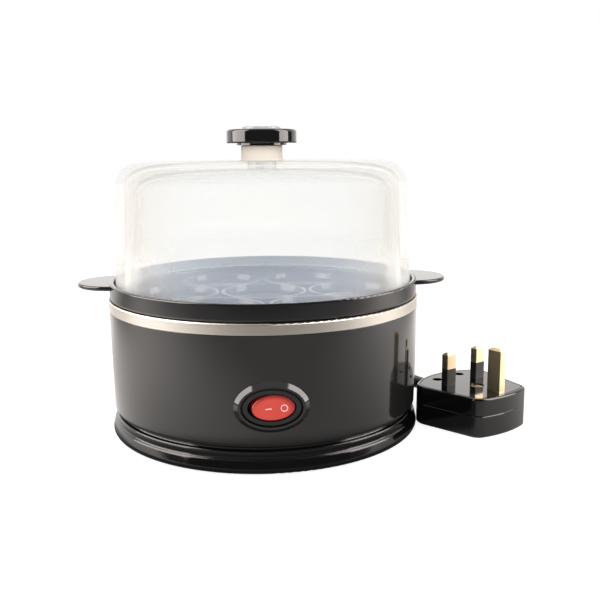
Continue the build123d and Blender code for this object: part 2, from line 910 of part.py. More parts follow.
def cord_coil():
    """Put-away length of the lead: one unbroken tube in two layers of loops."""
    knots = [coil_knot(quarter) for quarter in range(coil_quarter_count + 1)]
    first, last = knots[0], knots[-1]
    edges = [Line(first[0] - first[1] * cord_diameter, first[0]).edge()]
    for (start, start_heading), (end, end_heading) in zip(knots, knots[1:]):
        edges += biarc(start, start_heading, end, end_heading)
    edges.append(Line(last[0], last[0] + last[1] * cord_diameter).edge())
    path = Wire(edges)
    section = RegularPolygon(cord_diameter / 2, coil_side_count)
    section = Plane(path @ 0, x_dir=(0, 0, 1), z_dir=path % 0) * section
    sample_count = 600
    places = [path @ (step / sample_count) for step in range(sample_count + 1)]
    apart = int(6 * cord_diameter / (path.length / sample_count))
    gap = min(
        (places[late] - places[early]).length - cord_diameter
        for early in range(sample_count + 1)
        for late in range(early + apart, sample_count + 1)
    )
    print(f"coil: {path.length:.0f} mm of lead, least gap to itself {gap:.2f} mm")
    return sweep(section, path=path), path.length


def cord_tie():
    """Band tie round the far side of the coil, across all its passes."""
    passes = [coil_knot(quarter)[0] for quarter in (1, 5, 9)]
    half = cord_diameter / 2 + tie_clearance
    low = min(place.Y for place in passes) - half
    high = max(place.Y for place in passes) + half
    bottom = min(place.Z for place in passes) - half
    top = max(place.Z for place in passes) + half
    wide, tall = high - low, top - bottom
    middle = Plane.YZ * Pos((low + high) / 2, (bottom + top) / 2)
    outer = middle * RectangleRounded(wide + 2 * tie_thickness, tall + 2 * tie_thickness, tie_round)
    inner = middle * RectangleRounded(wide, tall, tie_round - tie_thickness)
    return Pos(coil_x - tie_width / 2, 0, 0) * extrude(outer - inner, tie_width)


# Wires inside the base
def wire(*points):
    """Insulated wire with rounded bends."""
    return tube(points, wire_diameter, 0.4)[0]


core_spacing = wire_diameter / 2 + 3 * thread_clearance
supply_height = element_pin_low - supply_drop
tab_tip = -housing_back + tab_length


def supply_live_wire():
    height = gland_height + core_rise
    return wire(
        (-core_spacing, inner_lead_end, height),
        (-core_spacing, inner_lead_end - stub, height),
        (-supply_rear_x, supply_rear_y, supply_height),
        (-supply_side, supply_side_half, supply_height),
        (-supply_side, -supply_side_half, supply_height + wire_ease),
        (-supply_front_x, -supply_front_y, switch_height - wire_ease),
        (-tab_spacing / 2, tab_tip + stub, switch_height),
        (-tab_spacing / 2, tab_tip, switch_height),
    )


def neutral_wire():
    x, y = element_pin_places()[1]
    height = gland_height + core_rise
    return wire(
        (core_spacing, inner_lead_end, height),
        (core_spacing, inner_lead_end - stub, height),
        (x, y + stub, height + wire_slack),
        (x, y, element_pin_low - stub),
        (x, y, element_pin_low),
    )


def earth_wire():
    x = stud_circle + stud_diameter / 2 + wire_diameter / 2 + thread_clearance
    height = gland_height - 2 * thread_clearance - wire_diameter / 2
    return wire(
        (0, inner_lead_end, height),
        (0, inner_lead_end - stub, height),
        (x / 2, earth_bend_y, height - wire_slack),
        (x, earth_run_y, height),
        (x, -stub, height + wire_slack),
    )


def switched_live_wire():
    y = -thermostat_tab_spacing / 2
    return wire(
        (tab_spacing / 2, tab_tip, switch_height),
        (tab_spacing / 2, tab_tip + stub, switch_height),
        (tab_spacing / 2 + wire_ease, -switched_bend_y, thermostat_tab_low - wire_sag),
        (wire_ease, y - stub, thermostat_tab_low - stub),
        (0, y, thermostat_tab_low - stub + wire_ease),
        (0, y, thermostat_tab_low),
    )


def fuse_supply_wire():
    y = thermostat_tab_spacing / 2
    end = fuse_link_length / 2
    return wire(
        (0, y, thermostat_tab_low),
        (0, y, thermostat_tab_low - stub),
        (end + stub, y + stub, thermostat_tab_low - stub + wire_sway),
        (end + stub + wire_ease, fuse_link_setback - wire_sway, fuse_link_height - stub),
        (end + stub, fuse_link_setback, fuse_link_height),
        (end, fuse_link_setback, fuse_link_height),
    )


def fuse_element_wire():
    x, y = element_pin_places()[0]
    end = -fuse_link_length / 2
    return wire(
        (end, fuse_link_setback, fuse_link_height),
        (end - stub, fuse_link_setback, fuse_link_height),
        (end - stub - wire_sway, fuse_link_setback - wire_ease, element_pin_low - wire_sag),
        (x + wire_sway, y - stub, element_pin_low - stub - wire_sag),
        (x, y, element_pin_low - stub),
        (x, y, element_pin_low),
    )


# Plug
def plug_outline():
    """Rounded outline of the plug in its own frame: earth end along X, both ends bowed."""
    toe = plug_toe_reach - plug_toe_bow
    hip = plug_heel_bow - plug_heel_reach
    outline = [
        ThreePointArc((toe, -plug_toe_half), (plug_toe_reach, 0), (toe, plug_toe_half)),
        Line((toe, plug_toe_half), (hip, plug_hip_half)),
        ThreePointArc((hip, plug_hip_half), (-plug_heel_reach, 0), (hip, -plug_hip_half)),
        Line((hip, -plug_hip_half), (toe, -plug_toe_half)),
    ]
    face = make_face(outline)
    face = fillet(face.vertices().group_by(Axis.X)[-1], plug_toe_round)
    return fillet(face.vertices().group_by(Axis.X)[0], plug_hip_round)


def plug_cord_socket():
    """Hole in the heel, half in each moulding, that the end of the lead sits in."""
    hole = Rot(0, 90, 0) * Cylinder(cord_diameter / 2 + thread_clearance, 2 * plug_cord_seat)
    return Pos(-plug_heel_reach, 0, plug_cord_height) * hole


def seated_plug(piece):
    return Pos(plug_x, plug_y, 0) * Rot(0, 0, plug_turn) * piece


def pin_block(deep, wide, low, high, along, across):
    """Rectangular block between two heights, in the plug's own frame."""
    return Pos(along, across, (low + high) / 2) * Box(deep, wide, high - low)


live_across = pin_spacing / 2
pin_low = plug_height - pin_root
sleeve_top = plug_height + sleeve_length


def line_pin_block(low, high, across, inset=0.0):
    return pin_block(line_pin_deep - 2 * inset, line_pin_wide - 2 * inset, low, high, 0, across)


def plug_base():
    """Pin side of the plug: grooved face, pin slots, screw recess and two moulded dimples."""
    base = Pos(0, 0, plug_split) * extrude(plug_outline(), plug_height - plug_split)
    base = fillet(base.edges().group_by(Axis.Z)[-1], plug_edge_round)
    base = chamfer(base.edges().group_by(Axis.Z)[0], plug_seam)
    groove = offset(plug_outline(), -plug_groove_inset)
    groove = groove - offset(plug_outline(), -plug_groove_inset - plug_groove_width)
    base = base - Pos(0, 0, plug_height - plug_groove_depth) * extrude(groove, plug_groove_depth)
    base = base - plug_cord_socket()
    base = base - pin_block(earth_pin_deep, earth_pin_wide, pin_low, plug_height, pin_spacing, 0)
    head_low = plug_height - plug_screw_sink - plug_screw_head_height
    base = base - rod(plug_screw_head / 2 + thread_clearance, head_low, plug_height, plug_screw_along)
    base = base - rod(plug_screw_shank / 2 + thread_clearance, plug_split, plug_height, plug_screw_along)
    for side in (-1, 1):
        base = base - line_pin_block(pin_low, plug_height, side * live_across)
        across = side * dimple_across
        base = base - rod(dimple_diameter / 2, plug_height - dimple_depth, plug_height, -dimple_along, across)
    return seated_plug(base)


fuse_room = plug_fuse_diameter + 2 * plug_fuse_clearance


def plug_cover():
    """Back cover of the plug, which lies on the table, with a pocket for the fuse."""
    cover = extrude(plug_outline(), plug_split)
    cover = fillet(cover.edges().group_by(Axis.Z)[0], plug_edge_round)
    cover = chamfer(cover.edges().group_by(Axis.Z)[-1], plug_seam)
    bore = plug_screw_shank / 2 + thread_clearance
    cover = cover - rod(bore, plug_split - plug_screw_bite - seat_gap, plug_split, plug_screw_along)
    long = plug_fuse_length + 2 * plug_fuse_clearance
    pocket = pin_block(long, fuse_room, plug_split - fuse_room, plug_split, plug_fuse_along, plug_fuse_across)
    return seated_plug(cover - pocket - plug_cord_socket())


def plug_fuse():
    height = plug_split - fuse_room + plug_fuse_diameter / 2 + seat_gap
    fuse = Rot(0, 90, 0) * Cylinder(plug_fuse_diameter / 2, plug_fuse_length)
    return seated_plug(Pos(plug_fuse_along, plug_fuse_across, height) * fuse)


def tipped(pin):
    return chamfer(pin.faces().sort_by(Axis.Z)[-1].outer_wire().edges(), pin_tip_chamfer)


def plug_earth_pin():
    top = plug_height + earth_pin_long
    return seated_plug(tipped(pin_block(earth_pin_deep, earth_pin_wide, pin_low, top, pin_spacing, 0)))


def plug_line_pin(across):
    """Line or neutral pin, necked where its sleeve sits."""
    pin = tipped(line_pin_block(sleeve_top, plug_height + line_pin_long, across))
    pin = pin + line_pin_block(plug_height, sleeve_top, across, sleeve_wall)
    return seated_plug(pin + line_pin_block(pin_low, plug_height, across))


def plug_pin_sleeves():
    sleeves = []
    for side in (-1, 1):
        sleeve = line_pin_block(plug_height, sleeve_top, side * live_across)
        neck = line_pin_block(plug_height, sleeve_top, side * live_across, sleeve_wall)
        sleeves.append(seated_plug(sleeve - neck))
    return Compound(sleeves)


def plug_cover_screw():
    top = plug_height - plug_screw_sink
    head_low = top - plug_screw_head_height
    blank = rod(plug_screw_head / 2, head_low, top, plug_screw_along)
    blank = blank + rod(plug_screw_shank / 2, plug_split - plug_screw_bite, head_low, plug_screw_along)
    slot = Pos(plug_screw_along, 0, top) * Box(plug_screw_head, plug_screw_slot, plug_screw_head_height)
    return seated_plug(blank - slot)


cord_share = 0.45
cord_lead, lead_length, lead_radii = tube(lead_points, cord_diameter, cord_share)
cord_tail, tail_length, tail_radii = tube(tail_points, cord_diameter, cord_share)
coil_solid, coil_length = cord_coil()
section_area = math.pi * cord_diameter**2 / 4
for stretch, solid, length, radii in (
    ("lead", cord_lead, lead_length, lead_radii),
    ("tail", cord_tail, tail_length, tail_radii),
):
    print(
        f"{stretch}: {length:.0f} mm, radii {[round(radius) for radius in radii]},"
        f" volume {solid.volume / (section_area * length):.4f} of section times length"
    )
print(f"cord from strain relief to plug: {lead_length + coil_length + tail_length:.0f} mm")

nodes = {
    "base_plinth": base_plinth(),
    "rubber_feet": rubber_feet(),
    "base_screws": base_screws(),
    "body_shell": body_shell(),
    "steel_band": steel_band(),
    "heating_pan": heating_pan(),
    "pan_seal": pan_seal(),
    "heat_spreader": heat_spreader(),
    "heating_element": heating_element(),
    "element_terminals": element_terminals(),
    "pan_studs": pan_studs(),
    "stud_nuts": stud_nuts(),
    "thermostat": thermostat(),
    "thermostat_screws": thermostat_screws(),
    "thermal_fuse": thermal_fuse(),
    "egg_tray": egg_tray(),
    "lid": lid(),
    "knob": knob(),
    "knob_cap": knob_cap(),
    "knob_washer": knob_washer(),
    "knob_screw": knob_screw(),
    "switch_housing": switch_housing(),
    "switch_rocker": switch_rocker(),
    "rocker_pivot": rocker_pivot(),
    "switch_terminals": switch_terminals(),
    "pilot_lamp": pilot_lamp(),
    "supply_live_wire": supply_live_wire(),
    "switched_live_wire": switched_live_wire(),
    "fuse_supply_wire": fuse_supply_wire(),
    "fuse_element_wire": fuse_element_wire(),
    "neutral_wire": neutral_wire(),
    "earth_wire": earth_wire(),
    "strain_relief": strain_relief(),
    "inner_lead": inner_lead(),
    "cord_clamp": cord_clamp(),
    "clamp_screws": clamp_screws(),
    "cord_lead": cord_lead,
    "cord_coil": coil_solid,
    "cord_tail": cord_tail,
    "cord_tie": cord_tie(),
    "plug_base": plug_base(),
    "plug_cover": plug_cover(),
    "plug_earth_pin": plug_earth_pin(),
    "plug_live_pin": plug_line_pin(live_across),
    "plug_neutral_pin": plug_line_pin(-live_across),
    "plug_pin_sleeves": plug_pin_sleeves(),
    "plug_cover_screw": plug_cover_screw(),
    "plug_fuse": plug_fuse(),
}

os.makedirs("parts", exist_ok=True)
for node, solid in nodes.items():
    export_step(solid, f"parts/{node}.step")
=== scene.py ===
import json
import math

import bmesh
import bpy
from mathutils import Matrix, Vector


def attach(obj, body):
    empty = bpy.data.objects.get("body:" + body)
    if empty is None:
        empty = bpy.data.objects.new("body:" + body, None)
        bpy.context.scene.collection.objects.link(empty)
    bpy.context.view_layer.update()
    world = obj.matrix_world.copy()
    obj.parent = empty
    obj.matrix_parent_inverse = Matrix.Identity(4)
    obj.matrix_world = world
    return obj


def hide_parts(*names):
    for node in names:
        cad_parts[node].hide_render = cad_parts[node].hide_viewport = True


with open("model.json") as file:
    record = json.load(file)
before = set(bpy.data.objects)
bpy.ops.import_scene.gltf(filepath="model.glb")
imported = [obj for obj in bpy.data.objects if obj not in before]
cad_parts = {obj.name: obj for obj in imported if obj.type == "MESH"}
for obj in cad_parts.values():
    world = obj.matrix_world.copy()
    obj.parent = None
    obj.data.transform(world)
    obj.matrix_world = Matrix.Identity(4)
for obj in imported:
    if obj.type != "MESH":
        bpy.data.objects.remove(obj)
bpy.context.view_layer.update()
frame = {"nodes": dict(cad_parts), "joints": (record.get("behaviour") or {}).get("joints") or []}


# Camera. A normal lens at arm's length in front of the cooker, a little left of its switch and level
# with the knob, so the tray's ears and the plug's three pins both show.
def add_object(name, data):
    """Places new data in the scene as an object."""
    made = bpy.data.objects.new(name, data)
    bpy.context.scene.collection.objects.link(made)
    return made


camera_place = Vector((-0.01308, -0.41637, 0.14375))
camera_turn = math.radians(-4.40)
camera_tilt = math.radians(-10.757)
camera_roll = math.radians(-0.464)
camera = add_object("camera", bpy.data.cameras.new("camera"))
camera.data.lens = 48.0
camera.data.sensor_width = 36.0
camera.data.clip_start = 0.01
camera.matrix_world = (
    Matrix.Translation(camera_place)
    @ Matrix.Rotation(camera_turn, 4, "Z")
    @ Matrix.Rotation(math.pi / 2 + camera_tilt, 4, "X")
    @ Matrix.Rotation(camera_roll, 4, "Z")
)
bpy.context.scene.camera = camera
bpy.context.scene.view_settings.view_transform = "Standard"


# Studio. A white sweep behind and above, a dim room on the camera's side and a soft box on each side
# of the cooker, over a white table with pools of light: the black mouldings mirror all of these.
def set_sockets(tree, node, **values):
    """Sets or links a node's sockets by name."""
    for name, value in values.items():
        socket = node.inputs[name.replace("_", " ")]
        if isinstance(value, bpy.types.NodeSocket):
            tree.links.new(value, socket)
        else:
            socket.default_value = value


def shader_node(tree, kind, options=None, **sockets):
    """Shader node with its options and sockets set by name."""
    made = tree.nodes.new("ShaderNode" + kind)
    for option, value in (options or {}).items():
        setattr(made, option, value)
    set_sockets(tree, made, **sockets)
    return made


def arithmetic(tree, operation, *values):
    """Math node on values or sockets, returning its output."""
    made = shader_node(tree, "Math", {"operation": operation})
    for socket, value in zip(made.inputs, values):
        if isinstance(value, bpy.types.NodeSocket):
            tree.links.new(value, socket)
        else:
            socket.default_value = value
    return made.outputs[0]


def axes(tree, place):
    """The three numbers of a place or direction."""
    split = shader_node(tree, "SeparateXYZ", Vector=place)
    return [split.outputs[axis] for axis in "XYZ"]


def spread(tree, value, low, high):
    """Stretches a value that runs from 0 to 1 over another range."""
    made = shader_node(tree, "MapRange", Value=value, To_Min=low, To_Max=high)
    return made.outputs["Result"]


def ramp(tree, value, start, full, easing="SMOOTHSTEP"):
    """Mask that goes from 0 to 1 between two values."""
    made = shader_node(
        tree, "MapRange", {"interpolation_type": easing}, Value=value, From_Min=start, From_Max=full
    )
    return made.outputs["Result"]


def mix_shaders(tree, share, first, second):
    """Shader between two, by a share."""
    mix = shader_node(tree, "MixShader")
    for socket, value in zip(mix.inputs, (share, first, second)):
        tree.links.new(value, socket)
    return mix.outputs["Shader"]


sweep_level = 1.7
overhead_level = 0.7
room_level = 0.08
sweep_lean = 0.9
sweep_start, sweep_full = 0.30, 0.50
overhead_start, overhead_full = 0.3, 0.9
world = bpy.data.worlds.new("studio")
world.use_nodes = True
bpy.context.scene.world = world
tree = world.node_tree
tree.nodes.clear()
_, back, up = axes(tree, shader_node(tree, "TexCoord").outputs["Generated"])
swept = ramp(tree, arithmetic(tree, "MULTIPLY_ADD", up, sweep_lean, back), sweep_start, sweep_full)
overhead = ramp(tree, up, overhead_start, overhead_full)
lit = spread(tree, swept, room_level, spread(tree, overhead, sweep_level, overhead_level))
sweep = shader_node(tree, "Background", Color=(1.0, 0.97, 0.94, 1.0), Strength=lit)
backdrop = shader_node(tree, "Background", Color=(1.0, 1.0, 1.0, 1.0), Strength=1.0)
seen = shader_node(tree, "LightPath").outputs["Is Camera Ray"]
sky = mix_shaders(tree, seen, sweep.outputs["Background"], backdrop.outputs["Background"])
tree.links.new(sky, shader_node(tree, "OutputWorld").inputs["Surface"])

box_light = (1.0, 0.91, 0.875)
fill_light = (1.0, 1.0, 1.0)


def soft_box(name, place, target, width, height, radiance, mirrored=True):
    """Rectangular soft box that faces a point: one that glossy pieces mirror, or one that only fills in."""
    lamp = bpy.data.lights.new(name, "AREA")
    lamp.shape = "RECTANGLE"
    lamp.size = width
    lamp.size_y = height
    lamp.energy = radiance * math.pi * width * height
    lamp.color = box_light if mirrored else fill_light
    box = add_object(name, lamp)
    box.location = place
    box.rotation_euler = (Vector(target) - Vector(place)).to_track_quat("-Z", "Y").to_euler()
    box.visible_camera = False
    box.visible_glossy = mirrored
    box.visible_diffuse = not mirrored


fill_target = (0.0, 0.0, 0.10)
soft_box("soft_box_left", (-0.92, -0.13, 0.86), (0.0, -0.08, 0.86), 0.90, 1.60, 9.0)
soft_box("soft_box_right", (0.88, -0.24, 0.86), (0.0, 0.0, 0.86), 0.58, 1.60, 9.0)
soft_box("soft_box_top", (0.0, 0.45, 1.10), (0.0, 0.0, 0.0), 0.90, 0.60, 1.6)
soft_box("fill_front", (-0.10, -1.10, 0.50), fill_target, 0.90, 0.70, 6.6, mirrored=False)
soft_box("fill_left", (-0.95, -0.45, 0.50), fill_target, 0.80, 0.80, 1.1, mirrored=False)
soft_box("fill_right", (0.95, -0.45, 0.50), fill_target, 0.80, 0.80, 2.6, mirrored=False)


def fresh_material(name):
    """New material, with its node tree and its surface shader."""
    material = bpy.data.materials.new(name)
    material.use_nodes = True
    tree = material.node_tree
    return material, tree, tree.nodes["Principled BSDF"]


def light_pool(tree, place, middle, reach, level, core=0.0):
    """Soft oval of light or shade on the table, even over a share of its reach."""
    offset = shader_node(tree, "VectorMath", {"operation": "SUBTRACT"}, Vector=place)
    offset.inputs[1].default_value = (*middle, 0.0)
    scaled = shader_node(tree, "VectorMath", {"operation": "DIVIDE"}, Vector=offset.outputs["Vector"])
    scaled.inputs[1].default_value = (*reach, 1.0)
    away = shader_node(tree, "VectorMath", {"operation": "LENGTH"}, Vector=scaled.outputs["Vector"])
    return spread(tree, ramp(tree, away.outputs["Value"], core, 1.0), level, 0.0)


table_front, table_reach = -0.42, 3.0
table_corners = [
    (-table_reach, table_front, 0.0),
    (table_reach, table_front, 0.0),
    (table_reach, table_reach, 0.0),
    (-table_reach, table_reach, 0.0),
]
table_pools = {
    "left": ((-0.26, -0.07), (0.37, 0.26), 1.90),
    "left_back": ((-0.20, 0.20), (0.16, 0.22), 0.80),
    "right": ((0.36, -0.05), (0.38, 0.28), 1.35),
    "right_back": ((0.20, 0.20), (0.16, 0.22), 0.80),
    "far_left": ((-0.52, 0.02), (0.24, 0.24), 1.00),
    "far_left_back": ((-0.39, 0.34), (0.18, 0.18), 0.60),
    "far_right": ((0.52, 0.0), (0.26, 0.26), 1.00),
    "back": ((0.0, 0.60), (1.60, 0.55), 0.60),
}
cooker_shade = ((0.0, -0.030), (0.104, 0.100), 0.92)
shade_core = 0.80
table_light = 0.40
table, tree, table_mirrored = fresh_material("white_table")
table_place = shader_node(tree, "NewGeometry").outputs["Position"]
for pool in table_pools.values():
    table_light = arithmetic(tree, "ADD", light_pool(tree, table_place, *pool), table_light)
under_cooker = light_pool(tree, table_place, *cooker_shade, core=shade_core)
table_light = arithmetic(tree, "MULTIPLY", table_light, arithmetic(tree, "SUBTRACT", 1.0, under_cooker))
set_sockets(
    tree,
    table_mirrored,
    Base_Color=(0.10, 0.10, 0.10, 1.0),
    Roughness=0.4,
    Specular_IOR_Level=0.0,
    Emission_Color=(1.0, 0.94, 0.90, 1.0),
    Emission_Strength=table_light,
)
table_seen = shader_node(
    tree,
    "BsdfPrincipled",
    Base_Color=(0.5, 0.5, 0.5, 1.0),
    Roughness=0.9,
    Specular_IOR_Level=0.0,
    Emission_Color=(1.0, 1.0, 1.0, 1.0),
    Emission_Strength=0.75,
)
seen = shader_node(tree, "LightPath").outputs["Is Camera Ray"]
table_top = mix_shaders(tree, seen, table_mirrored.outputs["BSDF"], table_seen.outputs["BSDF"])
tree.links.new(table_top, tree.nodes["Material Output"].inputs["Surface"])
floor_mesh = bpy.data.meshes.new("floor")
floor_mesh.from_pydata(table_corners, [], [(0, 1, 2, 3)])
floor_mesh.materials.append(table)
floor = add_object("floor", floor_mesh)


# Base plinth. A flared ring moulded in glossy black, with softly rounded edges and a floor that closes
# the cooker from below; the body drops on its inner ring and four screws come up through the floor.
def open_group(name, inputs, outputs):
    """Empty shader node group with named number sockets, and its two ends."""
    tree = bpy.data.node_groups.new(name, "ShaderNodeTree")
    for way, sockets in (("INPUT", inputs), ("OUTPUT", outputs)):
        for socket in sockets:
            tree.interface.new_socket(socket, in_out=way, socket_type="NodeSocketFloat")
    return tree, tree.nodes.new("NodeGroupInput"), tree.nodes.new("NodeGroupOutput")


def moulded_grain_group():
    """Mould grain and slow patches of flow and handling, which every plastic piece has."""
    tree, inlet, outlet = open_group("moulded_grain", ("Grain Scale", "Patch Scale"), ("Grain", "Patches"))
    place = shader_node(tree, "TexCoord").outputs["Object"]
    grain_scale, patch_scale = inlet.outputs["Grain Scale"], inlet.outputs["Patch Scale"]
    grain = shader_node(tree, "TexNoise", Vector=place, Scale=grain_scale, Detail=3.0, Roughness=0.55)
    patches = shader_node(tree, "TexNoise", Vector=place, Scale=patch_scale, Detail=4.0, Roughness=0.6)
    set_sockets(tree, outlet, Grain=grain.outputs["Fac"], Patches=patches.outputs["Fac"])
    return tree


moulded_grain = moulded_grain_group()


def blend_colors(tree, share, first, second):
    """Colour between two, by a share."""
    mix = shader_node(tree, "Mix", {"data_type": "RGBA"})
    tree.links.new(share, mix.inputs[0])
    for socket, value in ((mix.inputs[6], first), (mix.inputs[7], second)):
        if isinstance(value, bpy.types.NodeSocket):
            tree.links.new(value, socket)
        else:
            socket.default_value = (*value, 1.0)
    return mix.outputs[2]


def plastic(name, dark, light, gloss, grain_scale=900.0, grain_depth=0.00002, patch_scale=28.0, **uniform):
    """Moulded plastic: two close colours in patches, a roughness range, mould grain."""
    material, tree, surface = fresh_material(name)
    grain = shader_node(
        tree, "Group", {"node_tree": moulded_grain}, Grain_Scale=grain_scale, Patch_Scale=patch_scale
    )
    patches = grain.outputs["Patches"]
    bump = shader_node(tree, "Bump", Strength=0.5, Distance=grain_depth, Height=grain.outputs["Grain"])
    set_sockets(
        tree,
        surface,
        Base_Color=blend_colors(tree, patches, dark, light),
        Roughness=spread(tree, patches, *gloss),
        Normal=bump.outputs["Normal"],
        **uniform,
    )
    return material


nodes = frame["nodes"]


def dress(material, *names):
    """Gives the named pieces one material."""
    for name in names:
        nodes[name].data.materials.clear()
        nodes[name].data.materials.append(material)


edge_softness = 0.0013
edge_samples = 8
plinth_black = plastic(
    "plinth_black", (0.0014, 0.0015, 0.0017), (0.0028, 0.0029, 0.0032), (0.05, 0.10), grain_scale=700.0
)
tree = plinth_black.node_tree
softened = shader_node(tree, "Bevel", {"samples": edge_samples}, Radius=edge_softness)
set_sockets(tree, tree.nodes["Bump"], Normal=softened.outputs["Normal"])
dress(plinth_black, "base_plinth")

# Feet. Four discs of black rubber, dull and slightly dusty, which keep the hot base off the table;
# they are pressed into round recesses under the plinth.
foot_rubber = plastic(
    "foot_rubber",
    (0.018, 0.018, 0.018),
    (0.045, 0.044, 0.042),
    (0.70, 0.88),
    grain_scale=1500.0,
    grain_depth=0.00006,
    patch_scale=120.0,
)
dress(foot_rubber, "rubber_feet")


# Base screws. Cross-head screws of zinc-plated steel, which go up through the plinth's pillars into
# the posts of the body.
def turned_lines_group():
    """Fine lines left by turning, spinning or brushing round the upright axis."""
    tree, inlet, outlet = open_group("turned_lines", ("Lines", "Drift"), ("Streaks", "Cloud"))
    lines, drift = inlet.outputs["Lines"], inlet.outputs["Drift"]
    place = shader_node(tree, "TexCoord").outputs["Object"]
    x, y, z = axes(tree, place)
    squares = arithmetic(tree, "MULTIPLY_ADD", x, x, arithmetic(tree, "MULTIPLY", y, y))
    across = arithmetic(tree, "ADD", arithmetic(tree, "SQRT", squares), z)
    ring = shader_node(
        tree,
        "CombineXYZ",
        X=arithmetic(tree, "MULTIPLY", x, drift),
        Y=arithmetic(tree, "MULTIPLY", y, drift),
        Z=arithmetic(tree, "MULTIPLY", across, lines),
    )
    ring_place = ring.outputs["Vector"]
    streaks = shader_node(tree, "TexNoise", Vector=ring_place, Scale=1.0, Detail=5.0, Roughness=0.7)
    cloud = shader_node(tree, "TexNoise", Vector=place, Scale=45.0, Detail=3.0, Roughness=0.5)
    set_sockets(tree, outlet, Streaks=streaks.outputs["Fac"], Cloud=cloud.outputs["Fac"])
    return tree


turned_lines = turned_lines_group()
cloud_share = 0.3


def bare_metal(name, dark, light, gloss, lines=4000.0, drift=40.0, line_depth=0.00001, **uniform):
    """Bare metal with lines round its axis: two tones, a roughness range, shallow grooves."""
    material, tree, surface = fresh_material(name)
    marks = shader_node(tree, "Group", {"node_tree": turned_lines}, Lines=lines, Drift=drift)
    streaks = marks.outputs["Streaks"]
    lined = arithmetic(tree, "MULTIPLY", streaks, 1.0 - cloud_share)
    shine = arithmetic(tree, "MULTIPLY_ADD", marks.outputs["Cloud"], cloud_share, lined)
    bump = shader_node(tree, "Bump", Strength=0.4, Distance=line_depth, Height=streaks)
    set_sockets(
        tree,
        surface,
        Metallic=1.0,
        Base_Color=blend_colors(tree, streaks, dark, light),
        Roughness=spread(tree, shine, *gloss),
        Normal=bump.outputs["Normal"],
        **uniform,
    )
    return material


zinc = bare_metal("zinc_plate", (0.50, 0.50, 0.47), (0.68, 0.68, 0.66), (0.25, 0.42))
dress(zinc, "base_screws")

# Body. The glossy black shell, slightly wider at its top, with a raised oval collar round the switch;
# its foot stands on the plinth's ring and its upstand carries the band and the pan.
body_black = plastic(
    "body_black",
    (0.0085, 0.0082, 0.008),
    (0.0125, 0.012, 0.0118),
    (0.05, 0.10),
    grain_scale=1100.0,
    grain_depth=0.000004,
    patch_scale=16.0,
)
dress(body_black, "body_shell")

# Steel band. A strip of stainless steel brushed round the cooker, with its top edge turned in over
# the rim of the pan.
band_steel = bare_metal(
    "band_steel",
    (0.51, 0.48, 0.43),
    (0.66, 0.63, 0.575),
    (0.24, 0.40),
    lines=5200.0,
    drift=9.0,
    line_depth=0.000012,
    Anisotropic=0.65,
)
tree = band_steel.node_tree
wrap = shader_node(tree, "Tangent", {"direction_type": "RADIAL", "axis": "Z"})
set_sockets(tree, tree.nodes["Principled BSDF"], Tangent=wrap.outputs["Tangent"])
dress(band_steel, "steel_band")

# Pan and heater. A drawn steel pan on a silicone ring; under it an aluminium disc holds a sheathed
# element in its groove, and two studs draw the whole stack down to the plinth.
pan_steel = bare_metal(
    "pan_steel", (0.58, 0.57, 0.54), (0.72, 0.71, 0.68), (0.16, 0.30), lines=2600.0, drift=20.0
)
dress(pan_steel, "heating_pan")
seal_silicone = plastic(
    "seal_silicone", (0.40, 0.39, 0.37), (0.50, 0.49, 0.47), (0.45, 0.60), grain_scale=1600.0
)
dress(seal_silicone, "pan_seal")
spreader_aluminium = bare_metal(
    "spreader_aluminium", (0.66, 0.67, 0.68), (0.82, 0.83, 0.84), (0.28, 0.45), lines=3000.0, drift=15.0
)
dress(spreader_aluminium, "heat_spreader")
element_sheath = bare_metal(
    "element_sheath",
    (0.16, 0.15, 0.14),
    (0.34, 0.31, 0.28),
    (0.38, 0.60),
    lines=900.0,
    drift=160.0,
    line_depth=0.00003,
)
dress(element_sheath, "heating_element")
brass = bare_metal(
    "brass",
    (0.70, 0.59, 0.36),
    (0.86, 0.77, 0.54),
    (0.34, 0.46),
    lines=2600.0,
    drift=600.0,
    line_depth=0.000001,
)
dress(brass, "element_terminals")
dress(zinc, "pan_studs", "stud_nuts", "thermostat_screws")
ceramic = plastic(
    "ceramic",
    (0.66, 0.62, 0.54),
    (0.80, 0.77, 0.70),
    (0.55, 0.75),
    grain_scale=1800.0,
    grain_depth=0.00004,
    patch_scale=180.0,
)
dress(ceramic, "thermostat")
fuse_ceramic = plastic(
    "fuse_ceramic",
    (0.72, 0.70, 0.64),
    (0.84, 0.83, 0.79),
    (0.30, 0.42),
    grain_scale=1500.0,
    patch_scale=200.0,
)
dress(fuse_ceramic, "thermal_fuse", "plug_fuse")


# Wiring. Insulated wires from the lead's end to the switch, thermostat, fuse link and element, and a
# green-and-yellow earth wire to a stud; a nylon bar with two screws clamps the lead to its saddle.
def tint(tree, share, color):
    """Blends one more colour into a surface's own, by a share."""
    surface = tree.nodes["Principled BSDF"]
    under = surface.inputs["Base Color"].links[0].from_socket
    set_sockets(tree, surface, Base_Color=blend_colors(tree, share, under, color))


